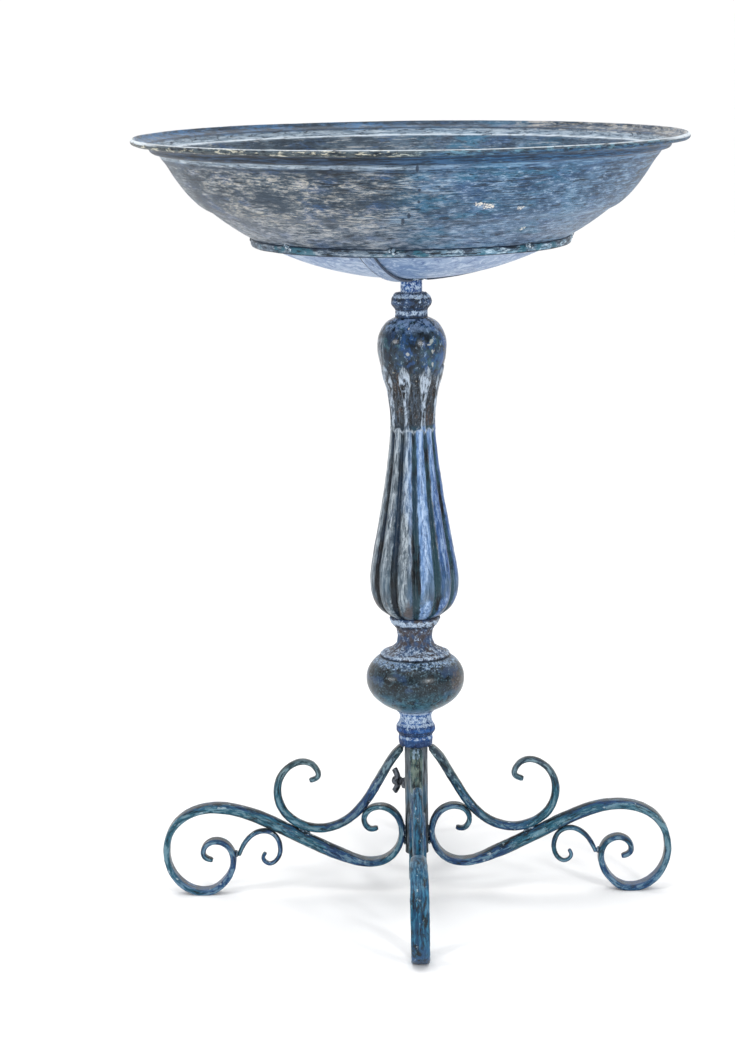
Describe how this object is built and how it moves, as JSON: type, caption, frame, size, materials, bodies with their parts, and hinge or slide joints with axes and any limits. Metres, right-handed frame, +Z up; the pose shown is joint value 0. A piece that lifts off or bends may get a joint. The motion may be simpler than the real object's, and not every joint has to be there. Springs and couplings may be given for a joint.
{
  "type": "bird bath",
  "caption": "Bird bath with a wide spun metal bowl on a fluted column, standing on scrolled legs.",
  "frame": {"origin": "on the ground under the centre of the column", "axes": "+Z up the column, -Y towards the front leg, +X towards the right leg"},
  "size_m": [0.49, 0.49, 0.691],
  "materials": {
    "bowl_paint": "distressed grey-blue patina, satin",
    "cradle_paint": "brushed blue patina, satin",
    "column_paint": "dark slate and cobalt patina, worn lighter on the ribs",
    "collar_paint": "cobalt with a crusty whitish wash",
    "leg_paint": "dark teal patina, satin",
    "bare_steel": "dull dark steel"
  },
  "bodies": {
    "base": {"post_tube": "leg_paint", "clamp_nut": "bare_steel", "leg_scroll_front": "leg_paint", "leg_scroll_right": "leg_paint", "leg_scroll_back": "leg_paint", "leg_scroll_left": "leg_paint", "brace_scroll_front": "leg_paint", "brace_scroll_right": "leg_paint", "brace_scroll_back": "leg_paint", "brace_scroll_left": "leg_paint", "spray_scroll_front": "leg_paint", "spray_scroll_right": "leg_paint", "spray_scroll_back": "leg_paint", "spray_scroll_left": "leg_paint"},
    "column": {"column_tube": "bare_steel", "lower_collar": "collar_paint", "ball": "column_paint", "cove_ring": "collar_paint", "baluster": "column_paint", "top_socket": "collar_paint"},
    "bowl": {"bowl": "bowl_paint", "support_ring": "cradle_paint", "cradle_strap_front": "cradle_paint", "cradle_strap_right": "cradle_paint", "cradle_strap_left": "cradle_paint", "bowl_stub": "collar_paint"},
    "wing_screw": {"wing_screw": "bare_steel"}
  },
  "joints": [
    {"name": "column_lift", "type": "slide", "parent": "base", "child": "column", "axis": [0, 0, 1], "range_m": [0, 0.09]},
    {"name": "bowl_lift", "type": "slide", "parent": "column", "child": "bowl", "axis": [0, 0, 1], "range_m": [0, 0.05]},
    {"name": "wing_screw_turn", "type": "hinge", "parent": "base", "child": "wing_screw", "pos_m": [-0.0058, 0.0058, 0.1], "axis": [-0.7071, 0.7071, 0], "range_deg": [0, 810]}
  ]
}
